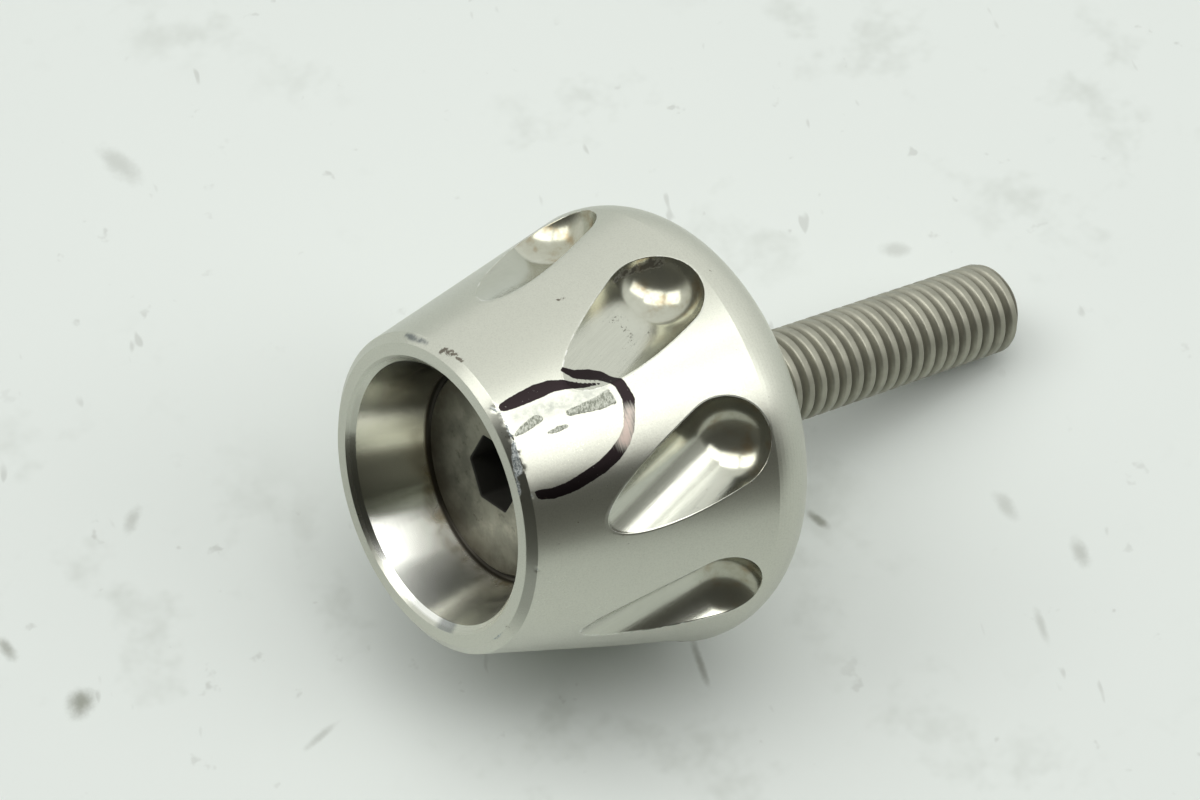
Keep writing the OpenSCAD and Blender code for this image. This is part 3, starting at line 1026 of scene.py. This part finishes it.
def build_screw(group, finishes):
    """Turns the head and the shank, winds the thread and cuts the socket."""
    sizes = in_mm(group)
    columns, rim_chamfer = 96, 0.12
    angles, unit = compass(columns)
    cone_z, start = sizes.head_top + sizes.rim, sizes.tip - sizes.thread
    ring_points, ring_normals = outline([
        (0.0, sizes.head_top, 0, 1.5),
        (sizes.head - rim_chamfer, sizes.head_top, 0.06, 1),
        (sizes.head, sizes.head_top + rim_chamfer, 0.05, 1),
        (sizes.head, cone_z, 0.05, 1.0),
        (sizes.shank, cone_z + sizes.head - sizes.shank, 0.2, 3.0),
        (sizes.shank, start, 0, 1),
    ], False)
    straight = spun(ring_points[1:], unit)
    rows = straight + thread_rows(sizes, angles, unit, start)
    points = np.concatenate([[(0.0, 0.0, sizes.head_top)], *rows, [(0.0, 0.0, sizes.tip)]])
    last = 1 + (len(rows) - 1) * columns
    faces = [(0, 1 + j, 1 + (j + 1) % columns) for j in range(columns)]
    wound = ring_faces(len(rows), columns, False, len(straight), THREAD_STEPS)
    faces += [tuple(1 + v for v in face) for face in wound]
    faces += [(last + (j + 1) % columns, last + j, len(points) - 1) for j in range(columns)]
    mesh = new_mesh("dressed_screw", points, faces)
    weld(mesh, 0.0004)
    piece = add_object("dressed_screw", mesh)
    mesh = cut(piece, new_mesh("socket_cutter", *hexagon_cutter(sizes)), (screw_steel(finishes),))

    # The head and the shank are shaded from their outline, the thread and the socket from the mesh
    mesh.set_sharp_from_angle(angle=math.radians(32))
    points, facing = read(mesh.vertices, "co") / MM, read(mesh.polygons, "normal")
    turned, gap = outline_normals(points, ring_points, ring_normals, False)
    corners, owners = loop_owners(mesh)
    on_outline = (gap[corners] < 0.01) & (points[corners][:, 2] < start)
    on_outline &= (facing[owners] * turned[corners]).sum(1) > 0.6
    shading = np.where(on_outline[:, None], turned[corners], read(mesh.corner_normals, "vector"))
    shading /= np.maximum(np.linalg.norm(shading, axis=1), 1e-9)[:, None]
    mesh.normals_split_custom_set(shading.tolist())
    finish_piece(piece, "screw")


# Stage


def build_table(stage, finishes):
    centre, reach = -TABLE_UP * stage.table_drop, stage.table_reach
    sides = ((-1, -1), (1, -1), (1, 1), (-1, 1))
    corners = [centre + TABLE_RIGHT * a * reach + TABLE_AWAY * b * reach for a, b in sides]
    mesh = bpy.data.meshes.new("table")
    mesh.from_pydata([tuple(c) for c in corners], [], [(0, 1, 2, 3)])
    if Vector(mesh.polygons[0].normal).dot(TABLE_UP) < 0:
        mesh.flip_normals()
    mesh.materials.append(table_top(finishes))
    table = add_object("table", mesh)


def build_lamps(stage):
    """Two panes overhead, a third one low on the right, and a faint broad one that only lights what is matt."""
    height, target = stage.lamp_height, Vector((0, 0, 0.012))
    # Place along the row, turn of the row in degrees, width, depth and strength, lengths as shares of the height
    panes = (
        (-0.66, -8, 0.70, 0.58, 1), (0.10, -8, 0.70, 0.58, 1),
        (0.92, -15, 0.80, 0.52, 1), (0, -8, 1.60, 1.60, 0.125),
    )
    for number, (offset, degrees, wide, deep, strength) in enumerate(panes):
        turn = math.radians(degrees)
        row = TABLE_RIGHT * math.cos(turn) + TABLE_AWAY * math.sin(turn)
        data = bpy.data.lights.new("pane_%d" % (number + 1), "AREA")
        data.shape, data.size, data.size_y = "RECTANGLE", wide * height, deep * height
        data.energy = stage.lamp_radiance * strength * math.pi * (wide * height) * (deep * height)
        data.color = (1.0, 1.0, 0.985)
        lamp = add_object(data.name, data)
        place = target + TABLE_UP * height + row * offset * height + TABLE_AWAY * 0.04 * height
        back = (place - target).normalized()
        side = (row - back * row.dot(back)).normalized()
        lamp.matrix_world = Matrix((side, back.cross(side), back)).transposed().to_4x4()
        lamp.location = place
        lamp.visible_camera = False
        lamp.visible_glossy = strength == 1


def build_world():
    """Bright beyond the part, dark on the photographer's side."""
    world = bpy.data.worlds.new("studio")
    bpy.context.scene.world = world
    world.use_nodes = True
    board = Board(world.node_tree)
    way = board.add("ShaderNodeTexCoord").outputs["Generated"]
    away, right, up = (board.along(way, axis) for axis in (TABLE_AWAY, TABLE_RIGHT, TABLE_UP))
    near_side = board.mix(up.rise(0.5, 0.0), (0.070, 0.070, 0.060), (0.16, 0.16, 0.14))
    board.colour = board.mix((away + right * 0.02).rise(-0.40, 0.12), near_side, (1.08, 1.105, 1.08))
    path = board.add("ShaderNodeLightPath")
    board.lay(board.wire(path, "Is Camera Ray"), (0.76, 0.80, 0.77))
    board.lay(board.wire(path, "Is Diffuse Ray") * 0.85, (0.0, 0.0, 0.0))
    background = board.add("ShaderNodeBackground", None, {"Color": board.colour, "Strength": 1.0})
    board.add("ShaderNodeOutputWorld", None, {"Surface": background.outputs[0]})


def build_camera(stage):
    data = bpy.data.cameras.new("camera")
    data.lens, data.sensor_width = stage.lens, 36.0
    data.clip_start, data.clip_end = 0.01, 20.0
    camera = add_object("camera", data)
    camera.matrix_world = Matrix((CAMERA_RIGHT, CAMERA_UP, CAMERA_BACK)).transposed().to_4x4()
    camera.location = Vector(stage.camera_place)
    bpy.context.scene.camera = camera


# Operators and panel


class OBJECT_OT_bar_end_body(bpy.types.Operator):
    """Build the turned and fluted body"""

    bl_idname = "object.bar_end_body"
    bl_label = "Fluted body"

    def execute(self, context):
        build_body(context.scene.bar_end_body, context.scene.bar_end_finishes)
        return {"FINISHED"}


class OBJECT_OT_bar_end_screw(bpy.types.Operator):
    """Build the countersunk screw with its thread"""

    bl_idname = "object.bar_end_screw"
    bl_label = "Countersunk screw"

    def execute(self, context):
        build_screw(context.scene.bar_end_screw, context.scene.bar_end_finishes)
        return {"FINISHED"}


class OBJECT_OT_bar_end_stage(bpy.types.Operator):
    """Set the table, the lamps, the surroundings and the camera"""

    bl_idname = "object.bar_end_stage"
    bl_label = "Stage"

    def execute(self, context):
        stage = context.scene.bar_end_stage
        build_table(stage, context.scene.bar_end_finishes)
        build_lamps(stage)
        build_world()
        build_camera(stage)
        context.scene.view_settings.view_transform = "Standard"
        return {"FINISHED"}


class VIEW3D_PT_bar_end(bpy.types.Panel):
    """Lists the pieces and their sizes"""

    bl_idname = "VIEW3D_PT_bar_end"
    bl_label = "Bar end weight"
    bl_space_type = "VIEW_3D"
    bl_region_type = "UI"
    bl_category = "Bar end"

    def draw(self, context):
        layout = self.layout
        for operator in OPERATORS:
            layout.operator(operator.bl_idname)
        for name in GROUPS:
            group = getattr(context.scene, name)
            box = layout.box()
            for key in own_keys(group):
                box.prop(group, key)


GROUPS = {
    "bar_end_body": BodySizes,
    "bar_end_screw": ScrewSizes,
    "bar_end_finishes": Finishes,
    "bar_end_stage": StageSizes,
}
OPERATORS = (OBJECT_OT_bar_end_body, OBJECT_OT_bar_end_screw, OBJECT_OT_bar_end_stage)
CLASSES = (*GROUPS.values(), *OPERATORS, VIEW3D_PT_bar_end)


def register():
    for cls in CLASSES:
        bpy.utils.register_class(cls)
    for name, group in GROUPS.items():
        setattr(bpy.types.Scene, name, PointerProperty(type=group))


def unregister():
    for name in GROUPS:
        delattr(bpy.types.Scene, name)
    for cls in reversed(CLASSES):
        bpy.utils.unregister_class(cls)


def main():
    register()
    bpy.ops.object.bar_end_body()
    bpy.ops.object.bar_end_screw()
    bpy.ops.object.bar_end_stage()


if __name__ == "__main__":
    main()
